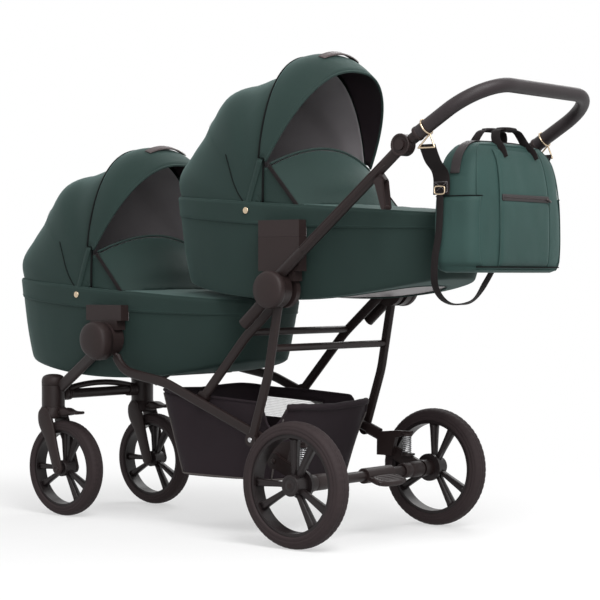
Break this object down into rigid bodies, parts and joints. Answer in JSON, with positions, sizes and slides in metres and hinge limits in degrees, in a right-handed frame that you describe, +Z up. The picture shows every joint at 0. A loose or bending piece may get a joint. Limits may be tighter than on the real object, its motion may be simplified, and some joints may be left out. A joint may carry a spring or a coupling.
{
  "type": "tandem twin pram",
  "caption": "Tandem twin pram: a folding wheeled frame that carries a low front and a high rear carrycot with hoods and aprons, a basket and a changing bag.",
  "frame": {"origin": "middle of the outer box at floor level", "axes": "-X is the way it travels, +X the handle end, +Z up, -Y the pram's left side"},
  "size_m": [1.646, 0.618, 1.203],
  "materials": {
    "frame": "satin black powder coat",
    "plastic": "fine grained black",
    "tyre": "matt foam rubber",
    "rim": "satin black",
    "foam": "stitched leatherette over foam",
    "green": "fine woven",
    "webbing": "woven black webbing",
    "basket": "black woven",
    "mattress": "cotton",
    "shell": "pale grey moulded",
    "spring": "bright drawn wire",
    "gold": "pale gold plated"
  },
  "bodies": {
    "chassis": {"side_tube_left": "frame", "side_tube_right": "frame", "front_hub_left": "plastic", "front_hub_right": "plastic", "rear_leg_left": "frame", "rear_leg_right": "frame", "brace_left": "frame", "brace_right": "frame", "rear_hub_left": "plastic", "rear_hub_right": "plastic", "suspension_bracket_left": "plastic", "suspension_bracket_right": "plastic", "front_beam": "frame", "front_legs": "frame", "upper_crossbar": "frame", "lower_crossbar": "frame", "risers": "plastic", "basket": "basket", "springs": "spring"},
    "rear_axle": {"rear_axle": "frame"},
    "brake_pedal": {"brake_pedal": "plastic"},
    "handle": {"handle_tube_left": "frame", "handle_tube_right": "frame"},
    "grip": {"handle_bar": "frame", "handle_grip": "foam", "bag_rings": "gold"},
    "bag": {"bag_body": "green", "bag_handles": "webbing", "bag_strap": "webbing"},
    "rear_wheel_left": {"rear_tyre_left": "tyre", "rear_rim_left": "rim"},
    "front_wheel_left": {"front_tyre_left": "tyre", "front_rim_left": "rim"},
    "fork_left": {"fork_left": "plastic"},
    "swivel_lock_left": {"swivel_lock_left": "plastic"},
    "fold_latch_left": {"fold_latch_left": "plastic"},
    "tilt_button_left": {"tilt_button_left": "plastic"},
    "rear_wheel_right": {"rear_tyre_right": "tyre", "rear_rim_right": "rim"},
    "front_wheel_right": {"front_tyre_right": "tyre", "front_rim_right": "rim"},
    "fork_right": {"fork_right": "plastic"},
    "swivel_lock_right": {"swivel_lock_right": "plastic"},
    "fold_latch_right": {"fold_latch_right": "plastic"},
    "tilt_button_right": {"tilt_button_right": "plastic"},
    "front_cot": {"front_tub": "shell", "front_cover": "green", "front_mattress": "mattress", "front_apron": "green", "front_hood_back": "green"},
    "front_hood": {"front_hood_front": "green"},
    "front_flap": {"front_flap": "green"},
    "rear_cot": {"rear_tub": "shell", "rear_cover": "green", "rear_mattress": "mattress", "rear_apron": "green", "rear_hood_back": "green"},
    "rear_hood": {"rear_hood_front": "green"},
    "rear_flap": {"rear_flap": "green"}
  },
  "joints": [
    {"name": "frame_fold", "type": "hinge", "parent": "chassis", "child": "handle", "pos_m": [0.21401, 0, 0.607], "axis": [0, -1, 0], "range_deg": [0, 100]},
    {"name": "handle_tilt", "type": "hinge", "parent": "handle", "child": "grip", "pos_m": [0.59048, 0, 0.93502], "axis": [0, -1, 0], "range_deg": [-10, 20]},
    {"name": "tilt_button_press_left", "type": "slide", "parent": "handle", "child": "tilt_button_left", "axis": [0, 1, 0], "range_m": [0, 0.004], "stiffness_N_per_m": 900, "springref_m": -0.004},
    {"name": "fold_latch_pull_left", "type": "hinge", "parent": "handle", "child": "fold_latch_left", "pos_m": [0.52991, -0.2502, 0.85251], "axis": [0, -1, 0], "range_deg": [0, 12], "stiffness_Nm_per_rad": 1.2, "springref_deg": -14.32},
    {"name": "front_swivel_left", "type": "hinge", "parent": "chassis", "child": "fork_left", "pos_m": [-0.62299, -0.173, 0.29], "axis": [0, 0, 1], "continuous": true},
    {"name": "front_spin_left", "type": "hinge", "parent": "fork_left", "child": "front_wheel_left", "pos_m": [-0.57499, -0.173, 0.127], "axis": [0, 1, 0], "continuous": true},
    {"name": "swivel_lock_left", "type": "hinge", "parent": "fork_left", "child": "swivel_lock_left", "pos_m": [-0.58849, -0.173, 0.2757], "axis": [0, -1, 0], "range_deg": [0, 25]},
    {"name": "tilt_button_press_right", "type": "slide", "parent": "handle", "child": "tilt_button_right", "axis": [0, -1, 0], "range_m": [0, 0.004], "stiffness_N_per_m": 900, "springref_m": -0.004},
    {"name": "fold_latch_pull_right", "type": "hinge", "parent": "handle", "child": "fold_latch_right", "pos_m": [0.52991, 0.2502, 0.85251], "axis": [0, -1, 0], "range_deg": [0, 12], "stiffness_Nm_per_rad": 1.2, "springref_deg": -14.32},
    {"name": "front_swivel_right", "type": "hinge", "parent": "chassis", "child": "fork_right", "pos_m": [-0.62299, 0.173, 0.29], "axis": [0, 0, 1], "continuous": true},
    {"name": "front_spin_right", "type": "hinge", "parent": "fork_right", "child": "front_wheel_right", "pos_m": [-0.57499, 0.173, 0.127], "axis": [0, 1, 0], "continuous": true},
    {"name": "swivel_lock_right", "type": "hinge", "parent": "fork_right", "child": "swivel_lock_right", "pos_m": [-0.58849, 0.173, 0.2757], "axis": [0, -1, 0], "range_deg": [0, 25]},
    {"name": "rear_suspension", "type": "hinge", "parent": "chassis", "child": "rear_axle", "pos_m": [0.19501, 0, 0.196], "axis": [0, -1, 0], "range_deg": [0, 5], "stiffness_Nm_per_rad": 300, "springref_deg": -4.01, "deforming": ["springs"]},
    {"name": "rear_spin_left", "type": "hinge", "parent": "rear_axle", "child": "rear_wheel_left", "pos_m": [0.30501, -0.285, 0.15], "axis": [0, 1, 0], "continuous": true},
    {"name": "rear_spin_right", "type": "hinge", "parent": "rear_axle", "child": "rear_wheel_right", "pos_m": [0.30501, 0.285, 0.15], "axis": [0, 1, 0], "continuous": true},
    {"name": "brake_press", "type": "hinge", "parent": "rear_axle", "child": "brake_pedal", "pos_m": [0.30501, 0, 0.15], "axis": [0, 1, 0], "range_deg": [0, 15]},
    {"name": "rear_cot_lift", "type": "slide", "parent": "chassis", "child": "rear_cot", "axis": [0, 0, 1], "range_m": [0, 0.12]},
    {"name": "front_cot_off", "type": "slide", "parent": "chassis", "child": "front_cot", "axis": [-0.9848, 0, 0.1736], "range_m": [0, 0.25]},
    {"name": "front_hood_fold", "type": "hinge", "parent": "front_cot", "child": "front_hood", "pos_m": [-0.49399, 0, 0.5913], "axis": [0, -1, 0], "range_deg": [0, 75]},
    {"name": "front_flap_fold", "type": "hinge", "parent": "front_cot", "child": "front_flap", "pos_m": [-0.33499, 0, 0.59749], "axis": [0, 1, 0], "range_deg": [0, 48]},
    {"name": "rear_hood_fold", "type": "hinge", "parent": "rear_cot", "child": "rear_hood", "pos_m": [0.09101, 0, 0.7996], "axis": [0, -1, 0], "range_deg": [0, 75]},
    {"name": "rear_flap_fold", "type": "hinge", "parent": "rear_cot", "child": "rear_flap", "pos_m": [0.25001, 0, 0.8058], "axis": [0, 1, 0], "range_deg": [0, 48]},
    {"name": "bag_off", "type": "slide", "parent": "chassis", "child": "bag", "axis": [1, 0, 0], "range_m": [0, 0.15]}
  ]
}
